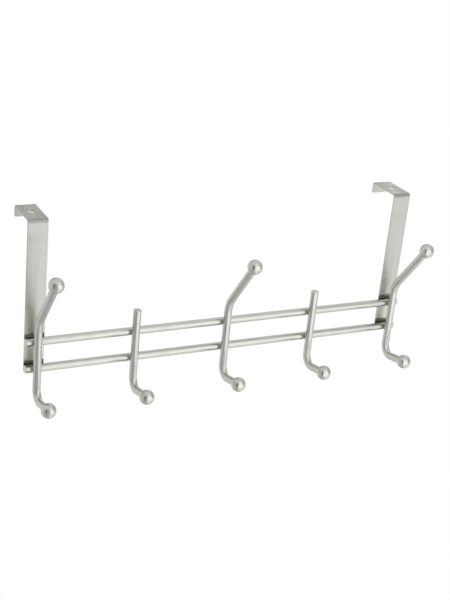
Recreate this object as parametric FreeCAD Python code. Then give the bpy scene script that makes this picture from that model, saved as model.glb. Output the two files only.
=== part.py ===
import FreeCAD, Part
import math
import os

# Over door hook rack of welded metal rod and folded strip, in millimetres.
# +Z is up, +X runs along the rack to the viewer's right, and -Y faces into the room.
# The origin is midway between the two screw holes, level with the door's top edge.

# Hooks along the rack: the first, third and fifth have an upper arm as well
hook_count = 5
hook_pitch = 100.0

# Straps: flat strip folded over the door, one behind each end hook
strap_width = 20.0
strap_thick = 1.5
strap_edge_round = 0.3
strap_inner_bend = 1.0
strap_corner_round = 2.0
door_gap = 40.0
lip_drop = 10.5
strap_tail = 5.0
screw_hole_d = 7.5

# Rails: two straight rods welded flat to the straps' front faces
rail_d = 8.0
upper_rail_drop = 121.8
rail_spacing = 28.4
rail_end_round = 0.6
rail_weld_flat = 0.15

# Hook rods: bent rods that cross in front of both rails and are welded to them
hook_rod_d = 8.0
hook_weld_sink = 0.3
weld_bead_d = 5.0
stem_end_rise = 26.4
stem_end_round = 0.8
upper_bend_rise = 22.3
upper_bend_r = 28.0
upper_arm_reach = 45.8
upper_arm_rise = 58.6
lower_bend_fall = 30.9
lower_bend_r = 10.8
lower_arm_reach = 37.7
lower_arm_rise = 8.5

# Ball ends: turned balls, each with a blind bore for the rod
ball_d = 15.0
bore_depth = 7.0
bore_lead = 0.3

# Places that follow from the sizes above
hook_xs = [(i - (hook_count - 1) / 2) * hook_pitch for i in range(hook_count)]
strap_xs = {"left_strap": hook_xs[0], "right_strap": hook_xs[-1]}
strap_front_y = -door_gap / 2 - strap_thick
rail_y = strap_front_y - rail_d / 2 + rail_weld_flat
stem_y = rail_y - rail_d / 2 - hook_rod_d / 2 + hook_weld_sink
upper_rail_z = -upper_rail_drop
lower_rail_z = upper_rail_z - rail_spacing
rail_zs = {"upper_rail": upper_rail_z, "lower_rail": lower_rail_z}
upper_bend_z = upper_rail_z + upper_bend_rise
lower_bend_z = lower_rail_z - lower_bend_fall

V = FreeCAD.Vector
X_AXIS = V(1, 0, 0)
Y_AXIS = V(0, 1, 0)
Z_AXIS = V(0, 0, 1)


def across(section, point, run):
    """The section, drawn in XY about the origin, set at a point and square to a run in the YZ plane."""
    lean = math.degrees(math.atan2(-run.y, run.z))
    placed = section.copy()
    placed.Placement = FreeCAD.Placement(point, FreeCAD.Rotation(X_AXIS, lean))
    return placed


def unit(start, end):
    """The direction from one point to another."""
    return (end - start).normalize()


def bent_bar(section, corners, bend_radii):
    """One bar of this section: straight runs between the corners, and at each corner a tangent bend."""
    pieces = []
    start = corners[0]
    for corner, beyond, radius in zip(corners[1:-1], corners[2:], bend_radii):
        run = unit(start, corner)
        next_run = unit(corner, beyond)
        turn = run.getAngle(next_run)
        setback = radius * math.tan(turn / 2)
        bend_start = corner - run * setback
        hinge = run.cross(next_run).normalize()
        centre = bend_start + hinge.cross(run) * radius
        pieces.append(across(section, start, run).extrude(bend_start - start))
        pieces.append(across(section, bend_start, run).revolve(centre, hinge, math.degrees(turn)))
        start = corner + next_run * setback
    last_run = unit(start, corners[-1])
    pieces.append(across(section, start, last_run).extrude(corners[-1] - start))
    return pieces[0].multiFuse(pieces[1:]).removeSplitter().Solids[0]


def round_section(diameter):
    """A disc about the origin in the XY plane."""
    return Part.Face(Part.Wire(Part.makeCircle(diameter / 2)))


def strip_section(width, thick, edge_round):
    """A flat strip's section about the origin, with its four edges rounded."""
    half_w = width / 2
    half_t = thick / 2
    r = edge_round
    bow = r * (1 - math.sqrt(0.5))
    edges = []
    for sx, sy in ((1, 1), (-1, 1), (-1, -1), (1, -1)):
        beside = V(sx * half_w, sy * (half_t - r), 0)
        above = V(sx * (half_w - r), sy * half_t, 0)
        middle = V(sx * (half_w - bow), sy * (half_t - bow), 0)
        first, last = (beside, above) if sx == sy else (above, beside)
        edges.append(Part.Arc(first, middle, last).toShape())
    ends = [(edge.firstVertex().Point, edge.lastVertex().Point) for edge in edges]
    for i in range(len(ends)):
        edges.append(Part.makeLine(ends[i][1], ends[(i + 1) % len(ends)][0]))
    return Part.Face(Part.Wire(Part.__sortEdges__(edges)))


def corner_cutter(x, side, y, z):
    """What rounding takes off one corner at a strip's end: a square block less the rounding's cylinder."""
    r = strap_corner_round
    depth = 2 * strap_thick
    block = Part.makeBox(2 * r, depth, 2 * r, V(x - r, y - depth / 2, z - r))
    keep = V(x - side * r, y - depth / 2, z + r)
    cutter = block.cut(Part.makeCylinder(r, depth, keep, Y_AXIS))
    inside_x = Part.makeBox(2 * r, depth, 4 * r, V(keep.x - (2 * r if side > 0 else 0), keep.y, z - 2 * r))
    inside_z = Part.makeBox(4 * r, depth, 2 * r, V(x - 2 * r, keep.y, keep.z))
    return cutter.cut(inside_x).cut(inside_z)


def strap(x):
    """A strip folded twice: a long leg in front of the door, a plate over it and a short lip behind it."""
    middle = door_gap / 2 + strap_thick / 2
    top = strap_thick / 2
    leg_end = lower_rail_z - strap_tail
    lip_end = -lip_drop
    corners = [V(x, -middle, leg_end), V(x, -middle, top), V(x, middle, top), V(x, middle, lip_end)]
    bend = strap_inner_bend + strap_thick / 2
    body = bent_bar(strip_section(strap_width, strap_thick, strap_edge_round), corners, [bend, bend])
    for y, z in ((-middle, leg_end), (middle, lip_end)):
        for side in (-1, 1):
            body = body.cut(corner_cutter(x + side * strap_width / 2, side, y, z))
    hole = Part.makeCylinder(screw_hole_d / 2, 3 * strap_thick, V(x, 0, -strap_thick), Z_AXIS)
    return body.cut(hole)


def rail_stock(z):
    """The round rod that a rail is cut from, with rounded ends flush with the straps' outer edges."""
    start = hook_xs[0] - strap_width / 2
    length = hook_xs[-1] - hook_xs[0] + strap_width
    rod = Part.makeCylinder(rail_d / 2, length, V(start, rail_y, z), X_AXIS)
    rims = [edge for edge in rod.Edges if abs(edge.Length - math.pi * rail_d) < 1e-6 * rail_d]
    return rod.makeFillet(rail_end_round, rims)


def rail(z):
    """A rail, with a flat behind each end where it is welded to a strap."""
    body = rail_stock(z)
    for x in strap_xs.values():
        flat = Part.makeBox(strap_width, rail_d, rail_d, V(x - strap_width / 2, strap_front_y, z - rail_d / 2))
        body = body.cut(flat)
    return body


def upper_ball_centre(x):
    """The middle of the ball on an upper arm."""
    return V(x, stem_y - upper_arm_reach, upper_bend_z + upper_arm_rise)


def lower_ball_centre(x):
    """The middle of the ball on a lower arm."""
    return V(x, stem_y - lower_arm_reach, lower_bend_z + lower_arm_rise)


def ball_profile_heights():
    """Along the bore's axis from the ball's centre: the mouth's rim, and the bore's floor where the rod ends."""
    mouth_r = hook_rod_d / 2 + bore_lead
    mouth = math.sqrt((ball_d / 2) ** 2 - mouth_r ** 2)
    return mouth, mouth - bore_depth


def rod_end(centre, bend):
    """Where a hook rod ends in its ball, on the line from the ball's centre to the arm's bend."""
    floor = ball_profile_heights()[1]
    return centre + unit(centre, bend) * floor


def ball(centre, bend):
    """A turned ball: half its outline with the bore and its lead, spun about the bore's axis."""
    r = ball_d / 2
    rod_r = hook_rod_d / 2
    mouth, floor = ball_profile_heights()
    rim = V(rod_r + bore_lead, 0, mouth)
    corners = [rim, V(rod_r, 0, mouth - bore_lead), V(rod_r, 0, floor), V(0, 0, floor), V(0, 0, -r)]
    outline = Part.Arc(V(0, 0, -r), V(r, 0, 0), rim).toShape()
    lines = [Part.makeLine(a, b) for a, b in zip(corners[:-1], corners[1:])]
    turned = Part.Face(Part.Wire([outline] + lines)).revolve(V(0, 0, 0), Z_AXIS, 360)
    return across(turned, centre, unit(centre, bend))


def hook_rod(x, has_upper_arm):
    """A bent rod with a weld bead and a saddle at each rail, which the rail's own surface shapes."""
    upper_bend = V(x, stem_y, upper_bend_z)
    lower_bend = V(x, stem_y, lower_bend_z)
    lower_end = rod_end(lower_ball_centre(x), lower_bend)
    section = round_section(hook_rod_d)
    if has_upper_arm:
        upper_end = rod_end(upper_ball_centre(x), upper_bend)
        body = bent_bar(section, [upper_end, upper_bend, lower_bend, lower_end], [upper_bend_r, lower_bend_r])
    else:
        stem_end = V(x, stem_y, upper_rail_z + stem_end_rise)
        body = bent_bar(section, [stem_end, lower_bend, lower_end], [lower_bend_r])
        rim = [edge for edge in body.Edges if (edge.CenterOfMass - stem_end).Length < stem_end_round / 10]
        body = body.makeFillet(stem_end_round, rim)
    for z in rail_zs.values():
        bead = Part.makeCylinder(weld_bead_d / 2, rail_y - stem_y, V(x, stem_y, z), Y_AXIS)
        body = body.fuse(bead)
    for z in rail_zs.values():
        body = body.cut(rail_stock(z))
    return body


def nodes():
    """Every separate piece by its name."""
    shapes = {name: strap(x) for name, x in strap_xs.items()}
    for name, z in rail_zs.items():
        shapes[name] = rail(z)
    for i, x in enumerate(hook_xs):
        has_upper_arm = i % 2 == 0
        shapes[f"hook_rod_{i + 1}"] = hook_rod(x, has_upper_arm)
        shapes[f"lower_ball_{i + 1}"] = ball(lower_ball_centre(x), V(x, stem_y, lower_bend_z))
        if has_upper_arm:
            shapes[f"upper_ball_{i + 1}"] = ball(upper_ball_centre(x), V(x, stem_y, upper_bend_z))
    return shapes


def write_parts():
    """One STEP file per piece, each a single valid solid."""
    os.makedirs("parts", exist_ok=True)
    for name, shape in nodes().items():
        solid = shape.Solids[0]
        print(name, len(shape.Solids), shape.isValid(), round(solid.Volume, 3), len(solid.Faces))
        solid.exportStep(f"parts/{name}.step")


write_parts()
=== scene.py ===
import bpy
import math
import numpy as np
from mathutils import Matrix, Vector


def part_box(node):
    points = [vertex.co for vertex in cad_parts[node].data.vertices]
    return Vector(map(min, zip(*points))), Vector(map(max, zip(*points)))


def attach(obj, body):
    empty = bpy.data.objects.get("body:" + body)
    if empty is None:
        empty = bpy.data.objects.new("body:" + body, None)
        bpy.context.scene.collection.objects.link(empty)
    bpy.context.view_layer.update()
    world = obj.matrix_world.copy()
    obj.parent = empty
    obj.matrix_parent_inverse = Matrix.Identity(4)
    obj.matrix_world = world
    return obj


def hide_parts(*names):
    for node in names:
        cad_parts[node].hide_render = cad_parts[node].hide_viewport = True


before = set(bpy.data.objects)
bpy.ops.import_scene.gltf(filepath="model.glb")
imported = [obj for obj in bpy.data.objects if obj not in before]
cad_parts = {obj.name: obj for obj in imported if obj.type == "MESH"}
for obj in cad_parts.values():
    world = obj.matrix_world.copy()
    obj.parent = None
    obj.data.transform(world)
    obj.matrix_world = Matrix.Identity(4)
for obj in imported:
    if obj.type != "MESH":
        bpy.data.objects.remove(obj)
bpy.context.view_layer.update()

# Sizes in metres that the boxes of the frame's nodes don't give, and the weld beads' flare as a share
STRAP_THICK = 0.0015
STRAP_INNER_BEND = 0.001
STRAP_CORNER = 0.002
STRAP_EDGE = 0.0003
LIP_DROP = 0.0105
SCREW_HOLE_R = 0.00375
HOLE_EDGE = 0.0002
HOLE_BLOCK = 0.006
WELD_SINK = 0.0003
WELD_BEAD_R = 0.0025
WELD_FLARE = 0.2
RAIL_END_ROUND = 0.0006
STEM_END_ROUND = 0.0008
UPPER_BEND_RISE = 0.0223
UPPER_BEND_R = 0.028
LOWER_BEND_FALL = 0.0309
LOWER_BEND_R = 0.0108
BORE_DEPTH = 0.007
BORE_LEAD = 0.0003

# How finely the surfaces are divided
AROUND = 64
BEND_STEPS = 28
FOLD_STEPS = 12
ROUND_STEPS = 6
BALL_STEPS = 48
HOLE_STEPS = 14
BESIDE_STEPS = 3
WELD_STEPS = 8

# Rings of cells round a screw hole, as shares of the way from its edge to the square block about it
HOLE_RINGS = (0, 0.3, 0.65)

# Sizes read from the frame's nodes
rail_low, rail_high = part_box("upper_rail")
lower_low, lower_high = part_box("lower_rail")
strap_low, strap_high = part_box("left_strap")
ball_low, ball_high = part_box("lower_ball_1")
hook_low, hook_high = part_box("hook_rod_1")
RAIL_R = (rail_high.z - rail_low.z) / 2
ROD_R = (hook_high.x - hook_low.x) / 2
BALL_R = (ball_high.x - ball_low.x) / 2
STRAP_HALF_W = (strap_high.x - strap_low.x) / 2
RAIL_Y = rail_low.y + RAIL_R
UPPER_RAIL_Z = (rail_low.z + rail_high.z) / 2
LOWER_RAIL_Z = (lower_low.z + lower_high.z) / 2
STEM_Y = RAIL_Y - RAIL_R - ROD_R + WELD_SINK
UPPER_BEND_Z = UPPER_RAIL_Z + UPPER_BEND_RISE
LOWER_BEND_Z = LOWER_RAIL_Z - LOWER_BEND_FALL

# Along the blank that a strap is folded from, on the middle of its thickness
FOLD_R = STRAP_INNER_BEND + STRAP_THICK / 2
FOLD_Y = strap_high.y - STRAP_THICK / 2
FOLD_LENGTH = FOLD_R * math.pi / 2
LEG_LENGTH = STRAP_THICK / 2 - FOLD_R - strap_low.z
PLATE_LENGTH = 2 * (FOLD_Y - FOLD_R)
LIP_LENGTH = STRAP_THICK / 2 - FOLD_R + LIP_DROP
BLANK_LENGTH = LEG_LENGTH + PLATE_LENGTH + LIP_LENGTH + 2 * FOLD_LENGTH
PLATE_START = LEG_LENGTH + FOLD_LENGTH
PLATE_END = PLATE_START + PLATE_LENGTH

# The photograph's view, from a fit to its outlines: picture 450 x 600, so the long side is the height
PHOTO_HEIGHT = 600
FOCAL_PIXELS = 1221.8
CAMERA_PLACE = (-0.53309, -1.03680, 0.39371)
CAMERA_YAW = 27.752
CAMERA_FALL = 23.306
CAMERA_ROLL = 5.756
SENSOR = 36.0
CLIP_START = 0.01


def place_camera():
    """The camera from its place, its turn to the right of +Y, its fall below level and its roll."""
    yaw, fall, roll = (math.radians(angle) for angle in (CAMERA_YAW, CAMERA_FALL, CAMERA_ROLL))
    ahead = np.array([math.sin(yaw) * math.cos(fall), math.cos(yaw) * math.cos(fall), -math.sin(fall)])
    level = np.array([math.cos(yaw), -math.sin(yaw), 0.0])
    down = np.cross(ahead, level)
    right = math.cos(roll) * level - math.sin(roll) * down
    below = math.cos(roll) * down + math.sin(roll) * level
    turned = np.eye(4)
    turned[:3, 0] = right
    turned[:3, 1] = -below
    turned[:3, 2] = -ahead
    turned[:3, 3] = CAMERA_PLACE
    data = bpy.data.cameras.new("photo_view")
    data.sensor_width = SENSOR
    data.lens = FOCAL_PIXELS / PHOTO_HEIGHT * SENSOR
    data.clip_start = CLIP_START
    camera = bpy.data.objects.new("photo_view", data)
    camera.matrix_world = Matrix(turned.tolist())
    bpy.context.scene.collection.objects.link(camera)
    bpy.context.scene.camera = camera


def unit(vector):
    """The vector at length 1."""
    vector = np.asarray(vector, float)
    return vector / np.linalg.norm(vector)


def column(values):
    """Numbers as a column, to multiply rows of vectors by."""
    return np.asarray(values, float)[:, None]


def bend_line(corners, bend_radii):
    """Points of straight runs joined by tangent arcs, and the direction of the line at each point.

    Where the line turns by t with radius R, the arc starts R tan(t / 2) before the corner, and its points
    are centre + R (sin(a) run - cos(a) inward) for a from 0 to t.
    """
    points = [np.array(corners[0], float)]
    runs = [unit(np.subtract(corners[1], corners[0]))]
    for corner, beyond, radius in zip(corners[1:-1], corners[2:], bend_radii):
        run = runs[-1]
        next_run = unit(np.subtract(beyond, corner))
        turn = math.acos(float(run @ next_run))
        inward = unit(next_run - (next_run @ run) * run)
        start = corner - run * radius * math.tan(turn / 2)
        centre = start + inward * radius
        angles = column(np.linspace(0, turn, BEND_STEPS + 1))
        points.extend(centre + radius * (np.sin(angles) * run - np.cos(angles) * inward))
        runs.extend(np.cos(angles) * run + np.sin(angles) * inward)
    points.append(np.array(corners[-1], float))
    runs.append(runs[-1])
    return np.array(points), np.array(runs)


def end_round(radius, size):
    """Distances from a rod's flat end, and the radii there, round the end's edge.

    At angle a they are size (1 - cos(a)) and radius - size + size sin(a).
    """
    angles = np.linspace(0, math.pi / 2, ROUND_STEPS + 1)
    return size * (1 - np.cos(angles)), radius - size + size * np.sin(angles)


def lengths_along(points):
    """The distance of each point from the first, along the line through them."""
    return np.append(0, np.cumsum(np.linalg.norm(np.diff(points, axis=0), axis=1)))


def area_normals(mesh):
    """Each point's normal: the sum of its faces' normals times their areas, so that flats stay flat."""
    corners = np.zeros(len(mesh.loops), int)
    mesh.loops.foreach_get("vertex_index", corners)
    sizes = np.zeros(len(mesh.polygons), int)
    mesh.polygons.foreach_get("loop_total", sizes)
    areas = np.zeros(len(mesh.polygons))
    mesh.polygons.foreach_get("area", areas)
    facing = np.zeros(3 * len(mesh.polygons))
    mesh.polygons.foreach_get("normal", facing)
    weighted = np.repeat(facing.reshape(-1, 3) * column(areas), sizes, axis=0)
    normals = np.zeros((len(mesh.vertices), 3))
    np.add.at(normals, corners, weighted)
    return normals / np.linalg.norm(normals, axis=1, keepdims=True)


class Surface:
    """A skin: blocks of points, each with its place on the straight stock, and the faces between them."""

    def __init__(self):
        self.points = []
        self.stock = []
        self.faces = []
        self.count = 0

    def add(self, points, stock):
        """Adds points of any layout and gives their numbers in the same layout."""
        numbers = self.count + np.arange(points[..., 0].size).reshape(points.shape[:-1])
        self.points.append(points.reshape(-1, 3))
        self.stock.append(np.broadcast_to(stock, points.shape).reshape(-1, 3))
        self.count += numbers.size
        return numbers

    def grid(self, numbers, keep=None):
        """Quads between neighbours of a layout whose columns run to the right and rows upwards.

        Where keep is given, only the cells that it marks get one.
        """
        quads = np.stack([numbers[:-1, :-1], numbers[:-1, 1:], numbers[1:, 1:], numbers[1:, :-1]], -1)
        if keep is None:
            self.faces.extend(quads.reshape(-1, 4).tolist())
        else:
            self.faces.extend(quads[keep].tolist())

    def fan(self, middle, ring):
        """Triangles from one point to a closed ring, which runs anticlockwise seen from outside."""
        ahead = np.roll(ring, -1)
        self.faces.extend(np.stack([np.full_like(ring, middle), ring, ahead], -1).tolist())

    def spun(self, points, runs, radii, side, along, start=None):
        """A closed round skin down a line of points, with its own radius at each of them.

        A ring is point + radius (cos(a) side + sin(a) across), where across is the cross product of run and
        side. On the straight stock it lies at (radius cos(a), radius sin(a), distance along the line). The
        skin is drawn to a point at the line's two ends, or at a start of its own as (point, distance).
        """
        angles = np.linspace(0, 2 * math.pi, AROUND, endpoint=False)
        across = np.cross(runs, side)
        cosines = np.cos(angles)[None, :, None]
        sines = np.sin(angles)[None, :, None]
        radii = radii[:, None, None]
        rings = points[:, None] + radii * (cosines * np.asarray(side) + sines * across[:, None])
        zeros = np.zeros((1, AROUND, 1))
        stock = np.concatenate([radii * cosines, radii * sines, along[:, None, None] + zeros], -1)
        numbers = self.add(rings, stock)
        self.grid(np.concatenate([numbers, numbers[:, :1]], 1))
        first, first_along = start or (points[0], along[0])
        ends = self.add(np.array([first, points[-1]]), np.array([[0, 0, first_along], [0, 0, along[-1]]]))
        self.fan(ends[0], numbers[0, ::-1])
        self.fan(ends[1], numbers[-1])

    def piece(self, name, node, slot):
        """One object at the origin with this skin, standing for its node and finished as its slot."""
        used = np.unique(np.concatenate([np.ravel(face) for face in self.faces]))
        numbers = np.zeros(self.count, int)
        numbers[used] = np.arange(len(used))
        faces = [numbers[face].tolist() for face in self.faces]
        mesh = bpy.data.meshes.new(name)
        mesh.from_pydata(np.concatenate(self.points)[used].tolist(), [], faces)
        mesh.update()
        mesh.shade_smooth()
        stock = mesh.attributes.new("stock", "FLOAT_VECTOR", "POINT")
        stock.data.foreach_set("vector", np.concatenate(self.stock)[used].astype(np.float32).ravel())
        mesh.normals_split_custom_set_from_vertices(area_normals(mesh))
        mesh.materials.append(finishes[slot])
        piece = bpy.data.objects.new(name, mesh)
        bpy.context.scene.collection.objects.link(piece)
        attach(piece, "root")
        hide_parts(node)


def rail(name, node, z, slot):
    """A straight rod along X with both end edges rounded."""
    surface = Surface()
    distances, radii = end_round(RAIL_R, RAIL_END_ROUND)
    radii = np.concatenate([radii, radii[::-1]])
    xs = np.concatenate([rail_low.x + distances, rail_high.x - distances[::-1]])
    points = np.stack([xs, np.full_like(xs, RAIL_Y), np.full_like(xs, z)], -1)
    runs = np.tile([1.0, 0.0, 0.0], (len(xs), 1))
    surface.spun(points, runs, radii, (0, 1, 0), lengths_along(points))
    surface.piece(name, node, slot)


def ball_centre(number, level):
    """The middle of a ball's box."""
    low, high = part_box(f"{level}_ball_{number}")
    return np.array((low + high) / 2)


def bends(x):
    """The corners of a hook's line, where its stem turns into the upper and the lower arm."""
    return np.array([x, STEM_Y, UPPER_BEND_Z]), np.array([x, STEM_Y, LOWER_BEND_Z])


def bore():
    """From a ball's centre along its bore: the mouth's rim, and the floor where the rod ends."""
    mouth = math.sqrt(BALL_R ** 2 - (ROD_R + BORE_LEAD) ** 2)
    return mouth, mouth - BORE_DEPTH


def ball(name, node, centre, bend, slot):
    """A turned ball, bored towards the bend that its arm comes from.

    From the far pole to the bore's mouth its radius is R sin(a) at height -R cos(a) on the bore's axis.
    Then the skin goes in over the lead and down the bore to its floor.
    """
    surface = Surface()
    mouth, floor = bore()
    rim = math.pi - math.atan2(ROD_R + BORE_LEAD, mouth)
    angles = np.linspace(0, rim, BALL_STEPS + 1)[1:]
    radii = np.concatenate([BALL_R * np.sin(angles), [ROD_R, ROD_R]])
    heights = np.concatenate([-BALL_R * np.cos(angles), [mouth - BORE_LEAD, floor]])
    axis = unit(bend - centre)
    points = centre + column(heights) * axis
    runs = np.tile(axis, (len(points), 1))
    surface.spun(points, runs, radii, (1, 0, 0), heights, start=(centre - BALL_R * axis, -BALL_R))
    surface.piece(name, node, slot)


def weld_bead(surface, x, z):
    """A short waist of weld from the stem's line to the rail's.

    Its radius is bead (1 + flare q^2), where q runs from -1 at the stem's line to 1 at the rail's.
    """
    steps = np.linspace(-1, 1, WELD_STEPS + 1)
    radii = WELD_BEAD_R * (1 + WELD_FLARE * steps ** 2)
    middle = (STEM_Y + RAIL_Y) / 2
    ys = middle + steps * (RAIL_Y - STEM_Y) / 2
    points = np.stack([np.full_like(ys, x), ys, np.full_like(ys, z)], -1)
    runs = np.tile([0.0, 1.0, 0.0], (len(ys), 1))
    surface.spun(points, runs, radii, (1, 0, 0), lengths_along(points))


def hook(name, node, x, lower_ball, upper_ball, slot):
    """A bent rod from its upper ball, or its rounded stem end, down the stem and out to its lower ball."""
    surface = Surface()
    upper_bend, lower_bend = bends(x)
    floor = bore()[1]
    lower_end = lower_ball + unit(lower_bend - lower_ball) * floor
    if upper_ball is not None:
        upper_end = upper_ball + unit(upper_bend - upper_ball) * floor
        corners = [upper_end, upper_bend, lower_bend, lower_end]
        points, runs = bend_line(corners, [UPPER_BEND_R, LOWER_BEND_R])
        radii = np.full(len(points), ROD_R)
    else:
        stem_end = np.array([x, STEM_Y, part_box(node)[1].z])
        points, runs = bend_line([stem_end, lower_bend, lower_end], [LOWER_BEND_R])
        distances, round_radii = end_round(ROD_R, STEM_END_ROUND)
        rounded = stem_end + column(distances) * runs[0]
        radii = np.concatenate([round_radii, np.full(len(points) - 1, ROD_R)])
        points = np.concatenate([rounded, points[1:]])
        runs = np.concatenate([np.tile(runs[0], (len(rounded), 1)), runs[1:]])
    surface.spun(points, runs, radii, (1, 0, 0), lengths_along(points))
    for z in (UPPER_RAIL_Z, LOWER_RAIL_Z):
        weld_bead(surface, x, z)
    surface.piece(name, node, slot)


def fold(x, flat):
    """Folds the flat blank, whose points are (across, along, height), over the door.

    Each bend turns the strip by phi = (along - its start) / radius, and a point lies at the middle line of
    the folded strip plus height times its outward normal (-cos(phi), sin(phi)).
    """
    across, along, height = flat[..., 0], flat[..., 1], flat[..., 2]
    first = np.clip((along - LEG_LENGTH) / FOLD_R, 0, math.pi / 2)
    second = np.clip((along - PLATE_END) / FOLD_R, 0, math.pi / 2)
    y = FOLD_R * (1 - np.cos(first) + np.sin(second)) - FOLD_Y
    y = y + np.clip(along - PLATE_START, 0, PLATE_LENGTH)
    z = strap_low.z + np.minimum(along, LEG_LENGTH) + FOLD_R * (np.sin(first) + np.cos(second) - 1)
    z = z - np.maximum(along - PLATE_END - FOLD_LENGTH, 0)
    turn = first + second
    return np.stack([x + across, y - height * np.cos(turn), z + height * np.sin(turn)], -1)


def blank_rows():
    """Down the blank: distance, half width of its flat, and the edge's normal as an angle from the end.

    Round a corner of radius r the flat keeps inside the edge's rounding e, so at angle a its outline is at
    distance r - (r - e) cos(a) from the end and at half width - r + (r - e) sin(a). The last value is the
    screw hole's distance, at the middle of the plate.
    """
    turn = np.linspace(0, math.pi / 2, ROUND_STEPS + 1)
    arc = STRAP_CORNER - STRAP_EDGE
    distances = STRAP_CORNER - arc * np.cos(turn)
    widths = STRAP_HALF_W - STRAP_CORNER + arc * np.sin(turn)
    middle = (PLATE_START + PLATE_END) / 2
    inner = np.concatenate([
        np.linspace(STRAP_CORNER, LEG_LENGTH, FOLD_STEPS + 1)[1:-1],
        np.linspace(LEG_LENGTH, PLATE_START, FOLD_STEPS + 1),
        [(PLATE_START + middle - HOLE_BLOCK) / 2],
        np.linspace(middle - HOLE_BLOCK, middle + HOLE_BLOCK, HOLE_STEPS + 1),
        [(PLATE_END + middle + HOLE_BLOCK) / 2],
        np.linspace(PLATE_END, PLATE_END + FOLD_LENGTH, FOLD_STEPS + 1),
    ])
    along = np.concatenate([distances, inner, BLANK_LENGTH - distances[::-1]])
    half = np.concatenate([widths, np.full(len(inner), STRAP_HALF_W - STRAP_EDGE), widths[::-1]])
    normal = np.concatenate([turn, np.full(len(inner), math.pi / 2), math.pi - turn[::-1]])
    return along, half, normal, middle


def border(first_row, last_row, first_col, last_col):
    """The rows and columns of a grid's points round a block of it, anticlockwise from its first corner."""
    rows = np.arange(first_row, last_row)
    cols = np.arange(first_col, last_col)
    return (np.concatenate([0 * cols + first_row, rows, 0 * cols + last_row, first_row + last_row - rows]),
            np.concatenate([cols, 0 * rows + last_col, first_col + last_col - cols, 0 * rows + first_col]))


def strap(name, node, x, slot):
    """A strip cut with rounded corners, drilled and folded twice.

    The blank's two flats are grids, and round the hole each has rings of cells, blended from a circle to
    the square block that the grid leaves out. Bands round the outline and the hole join the two flats.
    """
    surface = Surface()

    def put(plan, height):
        """Adds points of the blank's plan at one height, folded, and gives their numbers."""
        blank = np.concatenate([plan, np.full(plan.shape[:-1] + (1,), height)], -1)
        return surface.add(fold(x, blank), blank)

    def join_flats(back, front, plan, leaving, size, way):
        """A band that leaves the flats' borders by e cos(b) at height half thickness - e + e sin(b)."""
        lifts = np.linspace(0, math.pi / 2, ROUND_STEPS + 1)[:-1]
        middle = STRAP_THICK / 2 - size
        bands = [back]
        for b in -lifts[::-1]:
            bands.append(put(plan + size * math.cos(b) * leaving, size * math.sin(b) - middle))
        for b in lifts:
            bands.append(put(plan + size * math.cos(b) * leaving, size * math.sin(b) + middle))
        bands = np.array(bands + [front])
        surface.grid(np.concatenate([bands, bands[:, :1]], 1)[:, ::way])

    along, half, normal, hole_along = blank_rows()
    block = HOLE_BLOCK / (STRAP_HALF_W - STRAP_EDGE)
    beside = np.linspace(block, 1, BESIDE_STEPS + 1)[1:]
    share = np.concatenate([-beside[::-1], np.linspace(-block, block, HOLE_STEPS + 1), beside])
    flat = np.stack([column(half) * share, column(along) + 0 * share], -1)
    first_col = BESIDE_STEPS
    first_row = int(np.argmin(np.abs(along - (hole_along - HOLE_BLOCK))))
    last_col = first_col + HOLE_STEPS
    last_row = first_row + HOLE_STEPS
    keep = np.ones((len(along) - 1, len(share) - 1), bool)
    keep[first_row:last_row, first_col:last_col] = False

    outline = border(0, len(along) - 1, 0, len(share) - 1)
    sideways = np.sign(share[outline[1]]) * np.sin(normal[outline[0]])
    outward = np.stack([sideways, -np.cos(normal[outline[0]])], -1)
    square = border(first_row, last_row, first_col, last_col)
    first_corner = math.radians(-135)
    angles = first_corner + np.arange(len(square[0])) / len(square[0]) * 2 * math.pi
    spokes = np.stack([np.cos(angles), np.sin(angles)], -1)
    circle = np.array([0, hole_along]) + (SCREW_HOLE_R + HOLE_EDGE) * spokes

    outlines = {}
    holes = {}
    for side in (1, -1):
        height = side * STRAP_THICK / 2
        numbers = put(flat, height)
        rings = [put(circle + part * (flat[square] - circle), height) for part in HOLE_RINGS]
        rings = np.array(rings + [numbers[square]])
        surface.grid(numbers[:, ::side], keep[:, ::side])
        surface.grid(np.concatenate([rings, rings[:, :1]], 1)[:, ::-side])
        outlines[side] = numbers[outline]
        holes[side] = rings[0]

    join_flats(outlines[-1], outlines[1], flat[outline], outward, STRAP_EDGE, 1)
    join_flats(holes[-1], holes[1], circle, -spokes, HOLE_EDGE, -1)
    surface.piece(name, node, slot)


class Tree:
    """A node tree to which nodes are added by type, with their settings first and then their inputs."""

    def __init__(self, tree):
        self.tree = tree
        tree.nodes.clear()

    def add(self, kind, settings=None, inputs=None, output=0):
        """Adds a node, links or sets its inputs, and gives one of its outputs as a value."""
        node = self.tree.nodes.new(kind)
        for name, value in (settings or {}).items():
            setattr(node, name, value)
        for name, value in (inputs or {}).items():
            socket = node.inputs[name]
            if isinstance(value, Value):
                self.tree.links.new(value.socket, socket)
            else:
                socket.default_value = value
        return Value(self, node.outputs[output]) if len(node.outputs) else None


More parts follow.
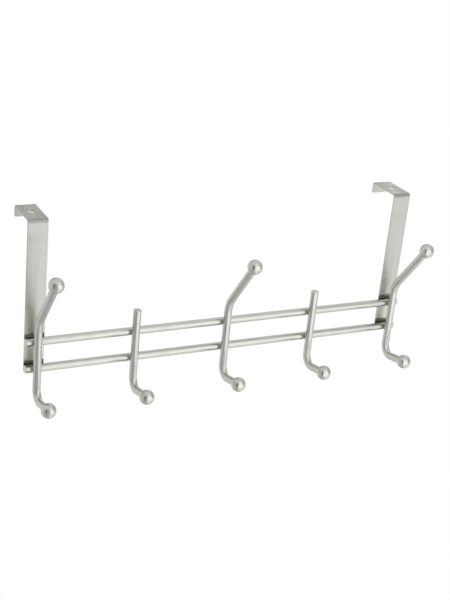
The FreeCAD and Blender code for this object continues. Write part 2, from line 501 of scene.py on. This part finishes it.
class Value:
    """A node's output, on which plain arithmetic adds Math nodes."""

    def __init__(self, tree, socket):
        self.tree = tree
        self.socket = socket

    def math(self, operation, other=None, swap=False):
        """The Math node for this operation on the value and the other one, or on the two swapped."""
        pair = (other, self) if swap else (self, other)
        inputs = {i: value for i, value in enumerate(pair) if value is not None}
        return self.tree.add("ShaderNodeMath", {"operation": operation}, inputs)

    def __add__(self, other):
        return self.math("ADD", other)

    def __sub__(self, other):
        return self.math("SUBTRACT", other)

    def __rsub__(self, other):
        return self.math("SUBTRACT", other, swap=True)

    def __mul__(self, other):
        return self.math("MULTIPLY", other)

    __radd__ = __add__
    __rmul__ = __mul__

    def clamped(self, low, high):
        """Rises smoothly from 0 to 1 between low and high."""
        return self.tree.add("ShaderNodeMapRange", {"interpolation_type": "SMOOTHSTEP"},
                             {"Value": self, "From Min": low, "From Max": high})

    def within(self, rise, fall):
        """Rises smoothly from 0 to 1 over the first range and falls back to 0 over the second."""
        return self.clamped(*rise) * (1 - self.clamped(*fall))


# The metals' colours, the straw one where a strap was heated by welding
STRIP_COLOR = (0.45, 0.45, 0.42)
STRAW_COLOR = (0.458, 0.447, 0.393)
BAR_COLOR = (0.51, 0.51, 0.48)

# How much the scratches, the streaks and the clouds of a metal change its shade and its roughness
SHADE_PARTS = (0.03, 0.3, 0.04)
ROUGH_PARTS = (0.03, 0.05, 0.05)
SCRATCH_DETAIL = 3.0
STREAK_DETAIL = 2.0
CLOUD_DETAIL = 2.0
CLOUD_FREQUENCY = 90.0

# How far from the middle of its thickness a strap is all front or back, and how much painted light
# brightens its back
FACE_DEPTH = 0.0005
PAINTED_BACK_LIGHT = 0.15

# How far the ends of the bands on a strap wander and fade, and where up the strap its straw colour ends
BAND_WANDER = 0.005
BAND_START_FADE = 0.0006
BAND_END_FADE = 0.0008
STRAW_FADE = (0.048, 0.090)

# The bands on a strap's front: painted shade just above each rail, for the rail's shaded back mirrored in
# the strap, darker round the two folds, and painted light between the rails. Each has its strength and its
# reach from the rail or fold that it lies at.
PAINTED_SHADE_BAND = 0.52
PAINTED_SHADE_HEIGHT = 0.0076
FRONT_FOLD_BAND = 0.28
FRONT_FOLD_BEFORE = 0.0009
FRONT_FOLD_AFTER = 0.0005
REAR_FOLD_BAND = 0.13
REAR_FOLD_BEFORE = 0.0045
PAINTED_LIGHT_BAND = -0.25
PAINTED_LIGHT_ABOVE_RAIL = 0.0085
PAINTED_LIGHT_BELOW_RAIL = 0.001


def strap_bands():
    """The bands on a strap's front as (from, to, strength), measured along the blank from its foot."""
    upper = UPPER_RAIL_Z - strap_low.z
    lower = LOWER_RAIL_Z - strap_low.z
    return [
        # Painted shade: a dark band just above each rail, for the rail's shaded back mirrored in the strap
        (upper, upper + PAINTED_SHADE_HEIGHT, PAINTED_SHADE_BAND),
        (lower, lower + PAINTED_SHADE_HEIGHT, PAINTED_SHADE_BAND),
        (LEG_LENGTH - FRONT_FOLD_BEFORE, PLATE_START + FRONT_FOLD_AFTER, FRONT_FOLD_BAND),
        (PLATE_END - REAR_FOLD_BEFORE, PLATE_END + FOLD_LENGTH, REAR_FOLD_BAND),
        # Painted light: the strap's front between the rails made lighter
        (lower + PAINTED_LIGHT_ABOVE_RAIL, upper - PAINTED_LIGHT_BELOW_RAIL, PAINTED_LIGHT_BAND),
    ]


def noise(tree, place, scale, detail):
    """Noise from 0 to 1 over a place times a scale."""
    return tree.add("ShaderNodeTexNoise", {}, {"Vector": place, "Scale": scale, "Detail": detail}, "Fac")


def varied(middle, patterns, parts):
    """A value that each pattern, a noise from 0 to 1, moves about its middle by up to half its part."""
    value = middle - sum(parts) / 2
    for pattern, part in zip(patterns, parts):
        value = value + pattern * part
    return value


def metal(name, color, roughness, grain, streaks, bump_depth, brushed=0.0, bands=(), straw=None):
    """A satin metal: fine scratches and broader streaks along the stock, and soft clouds of sheen.

    Scratches and streaks are noise on the stock's coordinates times their frequencies, so the highest one
    makes the narrowest marks. Each band (from, to, strength) darkens the front of folded stock between two
    distances along it, or brightens it where its strength is negative. Such stock turns towards the straw
    colour near its foot, and its back is brightened with painted light.
    """
    material = bpy.data.materials.new(name)
    material.use_nodes = True
    tree = Tree(material.node_tree)
    stock = tree.add("ShaderNodeAttribute", {"attribute_name": "stock"}, output="Vector")
    fine = tree.add("ShaderNodeVectorMath", {"operation": "MULTIPLY"}, {0: stock, 1: grain})
    scratches = noise(tree, fine, 1.0, SCRATCH_DETAIL)
    broad = tree.add("ShaderNodeVectorMath", {"operation": "MULTIPLY"}, {0: stock, 1: streaks})
    lines = noise(tree, broad, 1.0, STREAK_DETAIL)
    place = tree.add("ShaderNodeTexCoord", output="Object")
    clouds = noise(tree, place, CLOUD_FREQUENCY, CLOUD_DETAIL)
    patterns = (scratches, lines, clouds)
    shade = varied(1.0, patterns, SHADE_PARTS)
    rough = varied(roughness, patterns, ROUGH_PARTS)
    hue = color
    if bands:
        along = tree.add("ShaderNodeSeparateXYZ", {}, {0: stock}, "Y")
        height = tree.add("ShaderNodeSeparateXYZ", {}, {0: stock}, "Z")
        front = height.clamped(0.0, FACE_DEPTH)
        back = 1 - height.clamped(-FACE_DEPTH, 0.0)
        # Painted light: the strap's back, and so its lip, made brighter
        shade = shade * (1 + PAINTED_BACK_LIGHT * back)
        edge = along + clouds * BAND_WANDER - BAND_WANDER / 2
        # The bands above the rails are painted shade, and the one between the rails is painted light
        for start, end, strength in bands:
            rise = (start - BAND_START_FADE, start + BAND_START_FADE)
            fall = (end - BAND_END_FADE, end + BAND_END_FADE)
            shade = shade * (1 - front * edge.within(rise, fall) * strength)
        heated = front * (1 - along.clamped(*STRAW_FADE))
        hue = tree.add("ShaderNodeMix", {"data_type": "VECTOR"}, {0: heated, 4: color, 5: straw}, 1)
    tint = tree.add("ShaderNodeVectorMath", {"operation": "SCALE"}, {0: hue, "Scale": shade})
    bump = tree.add("ShaderNodeBump", {}, {"Height": scratches, "Distance": bump_depth, "Strength": 1.0})
    shader = tree.add("ShaderNodeBsdfPrincipled", {}, {
        "Base Color": tint, "Metallic": 1.0, "Roughness": rough, "Anisotropic": brushed, "Normal": bump})
    tree.add("ShaderNodeOutputMaterial", {}, {"Surface": shader})
    return material


# The white that the camera sees, and the studio that the metal sees instead: a dip is how much darker a
# part of it is, and the lift how much brighter. A part lies between two ranges of angles in radians, over
# which it fades in and out, or it starts or ends over one range.
BACKDROP = 1.0
FRONT_DIP = 0.34
FRONT_AZIMUTHS = ((-2.1, -1.05), (0.75, 1.45))
FRONT_HEIGHTS = ((-1.3, -0.6), (0.58, 1.2))
FLAG_DIP = 0.57
FLAG_AZIMUTHS = ((-1.08, -0.93), (-0.77, -0.61))
FLAG_HEIGHTS = ((-0.75, -0.3), (0.4, 0.8))
FLAG_LOWER_PART = 0.55
FLAG_GROWTH = (-0.1, 0.3)
SIDE_DIP = 0.24
SIDE_AZIMUTHS = ((0.8, 1.0), (1.9, 2.3))
SIDE_HEIGHTS = ((-0.4, 0.05), (0.35, 0.7))
BEHIND_DIP = 0.24
BEHIND_START = (2.45, 2.85)
BEHIND_HEIGHTS = ((-0.05, 0.2), (0.7, 1.1))
BELOW_DIP = 0.25
BELOW_END = (-1.4, -0.5)
REAR_DIP = 0.16
REAR_START = (1.5, 2.1)
REAR_END = (-1.1, -0.2)
SWEEP_LIFT = 0.45
SWEEP_AZIMUTHS = ((-0.2, 0.6), (1.5, 2.1))
SWEEP_END = (-1.25, -0.65)


def seen_rays(tree):
    """1 for rays from the camera and for those that the metal or glass sends on."""
    camera = tree.add("ShaderNodeLightPath", output="Is Camera Ray")
    glossy = tree.add("ShaderNodeLightPath", output="Is Glossy Ray")
    through = tree.add("ShaderNodeLightPath", output="Is Transmission Ray")
    return camera.math("MAXIMUM", glossy).math("MAXIMUM", through)


def paint_world():
    """A white studio for the camera, and for the metal one with darker parts.

    They are a broad front, a narrow flag to the left of it that is darkest in its upper part, a side on the
    right, a patch behind, the rear half's lower part and the ground, whose front right is a bright sweep.
    Azimuth 0 is straight in front of the rack and positive to the right, and height is above the horizon.
    """
    world = bpy.data.worlds.new("studio")
    world.use_nodes = True
    bpy.context.scene.world = world
    tree = Tree(world.node_tree)
    direction = tree.add("ShaderNodeTexCoord", output="Generated")
    x = tree.add("ShaderNodeSeparateXYZ", {}, {0: direction}, "X")
    y = tree.add("ShaderNodeSeparateXYZ", {}, {0: direction}, "Y")
    z = tree.add("ShaderNodeSeparateXYZ", {}, {0: direction}, "Z")
    azimuth = x.math("ARCTAN2", y * -1.0)
    height = z.math("ARCSINE")
    turned = azimuth.math("ABSOLUTE")
    front = azimuth.within(*FRONT_AZIMUTHS) * height.within(*FRONT_HEIGHTS)
    flag = azimuth.within(*FLAG_AZIMUTHS) * height.within(*FLAG_HEIGHTS)
    flag = flag * (FLAG_LOWER_PART + height.clamped(*FLAG_GROWTH) * (1 - FLAG_LOWER_PART))
    side = azimuth.within(*SIDE_AZIMUTHS) * height.within(*SIDE_HEIGHTS)
    behind = turned.clamped(*BEHIND_START) * height.within(*BEHIND_HEIGHTS)
    below = 1 - height.clamped(*BELOW_END)
    rear = turned.clamped(*REAR_START) * (1 - height.clamped(*REAR_END))
    sweep = azimuth.within(*SWEEP_AZIMUTHS) * (1 - height.clamped(*SWEEP_END))
    light = BACKDROP - front * FRONT_DIP - flag * FLAG_DIP - behind * BEHIND_DIP
    light = light - side * SIDE_DIP - below * BELOW_DIP - rear * REAR_DIP + sweep * SWEEP_LIFT
    camera = tree.add("ShaderNodeLightPath", output="Is Camera Ray")
    through = tree.add("ShaderNodeLightPath", output="Is Transmission Ray")
    light = light.math("MAXIMUM", camera).math("MAXIMUM", through)
    shown = tree.add("ShaderNodeBackground", {}, {"Color": (1, 1, 1, 1), "Strength": light})
    tree.add("ShaderNodeOutputWorld", {}, {"Surface": shown})


# The floor's half width, its height, far under the rack, and the grey of its paint
FLOOR_REACH = 6.0
FLOOR_Z = -1.3
FLOOR_GREY = 0.8


def lay_floor():
    """A pale floor far below the rack, which is white where the camera sees it."""
    mesh = bpy.data.meshes.new("studio_floor")
    signs = ((-1, -1), (1, -1), (1, 1), (-1, 1))
    mesh.from_pydata([(FLOOR_REACH * x, FLOOR_REACH * y, FLOOR_Z) for x, y in signs], [], [(0, 1, 2, 3)])
    material = bpy.data.materials.new("pale_floor")
    material.use_nodes = True
    tree = Tree(material.node_tree)
    paint = tree.add("ShaderNodeBsdfDiffuse", {}, {"Color": (FLOOR_GREY, FLOOR_GREY, FLOOR_GREY, 1)})
    white = tree.add("ShaderNodeEmission", {}, {"Color": (1, 1, 1, 1), "Strength": BACKDROP})
    mixed = tree.add("ShaderNodeMixShader", {}, {0: seen_rays(tree), 1: paint, 2: white})
    tree.add("ShaderNodeOutputMaterial", {}, {"Surface": mixed})
    mesh.materials.append(material)
    floor = bpy.data.objects.new("studio_floor", mesh)
    floor.visible_glossy = False
    floor.visible_shadow = False
    bpy.context.scene.collection.objects.link(floor)


def hang_panel(name, left, right, low, high, y, radiance, soft):
    """An upright light panel in front of the rack, facing it, whose rim fades over soft metres.

    Its power is its radiance times pi times its area, as if it had no soft rim.
    """
    data = bpy.data.lights.new(name, "AREA")
    data.shape = "RECTANGLE"
    data.size = right - left
    data.size_y = high - low
    data.energy = radiance * math.pi * data.size * data.size_y
    data.use_nodes = True
    tree = Tree(data.node_tree)
    place = tree.add("ShaderNodeNewGeometry", output="Parametric")
    across = tree.add("ShaderNodeSeparateXYZ", {}, {0: place}, "X")
    upward = tree.add("ShaderNodeSeparateXYZ", {}, {0: place}, "Y")
    fade = 1.0
    for share, part in ((across, soft / data.size), (upward, soft / data.size_y)):
        fade = fade * share.clamped(0, part) * (1 - share.clamped(1 - part, 1))
    glow = tree.add("ShaderNodeEmission", {}, {"Color": (1, 1, 1, 1), "Strength": fade})
    tree.add("ShaderNodeOutputLight", {}, {"Surface": glow})
    panel = bpy.data.objects.new(name, data)
    panel.location = ((left + right) / 2, y, (low + high) / 2)
    panel.rotation_euler = (math.radians(90), 0, 0)
    panel.visible_camera = False
    bpy.context.scene.collection.objects.link(panel)


place_camera()
paint_world()
lay_floor()
hang_panel("key_panel", left=-0.20, right=0.58, low=-0.50, high=0.26, y=-0.460, radiance=0.54, soft=0.16)
hang_panel("tall_panel", left=-0.30, right=0.62, low=-1.15, high=0.90, y=-0.462, radiance=0.48, soft=0.18)
hang_panel("side_panel", left=0.48, right=1.55, low=-1.20, high=-0.12, y=-0.464, radiance=0.52, soft=0.14)

# Grain and streaks are frequencies per metre: across, along and through the strip on a strap, and twice
# across and then along the axis on a rod or a ball
finishes = {
    "brushed_strip": metal(
        "brushed_strap_metal", STRIP_COLOR, roughness=0.23, grain=(3000.0, 20.0, 3000.0),
        streaks=(550.0, 4.0, 550.0), bump_depth=0.0, brushed=1.0, bands=strap_bands(), straw=STRAW_COLOR),
    "satin_rod": metal(
        "satin_rod_metal", BAR_COLOR, roughness=0.25, grain=(900.0, 900.0, 4000.0),
        streaks=(250.0, 250.0, 60.0), bump_depth=0.0000003),
    "satin_ball": metal(
        "satin_ball_metal", BAR_COLOR, roughness=0.10, grain=(700.0, 700.0, 4000.0),
        streaks=(200.0, 200.0, 200.0), bump_depth=0.0000004),
}

for side in ("left", "right"):
    low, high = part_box(f"{side}_strap")
    strap(f"folded_{side}_strap", f"{side}_strap", (low.x + high.x) / 2, "brushed_strip")
rail("satin_upper_rail", "upper_rail", UPPER_RAIL_Z, "satin_rod")
rail("satin_lower_rail", "lower_rail", LOWER_RAIL_Z, "satin_rod")
for number in range(1, 6):
    low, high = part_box(f"hook_rod_{number}")
    x = (low.x + high.x) / 2
    upper_bend, lower_bend = bends(x)
    lower_ball = ball_centre(number, "lower")
    upper_ball = ball_centre(number, "upper") if f"upper_ball_{number}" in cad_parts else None
    hook(f"bent_hook_rod_{number}", f"hook_rod_{number}", x, lower_ball, upper_ball, "satin_rod")
    ball(f"turned_lower_ball_{number}", f"lower_ball_{number}", lower_ball, lower_bend, "satin_ball")
    if upper_ball is not None:
        ball(f"turned_upper_ball_{number}", f"upper_ball_{number}", upper_ball, upper_bend, "satin_ball")

bpy.context.scene.view_settings.view_transform = "Standard"
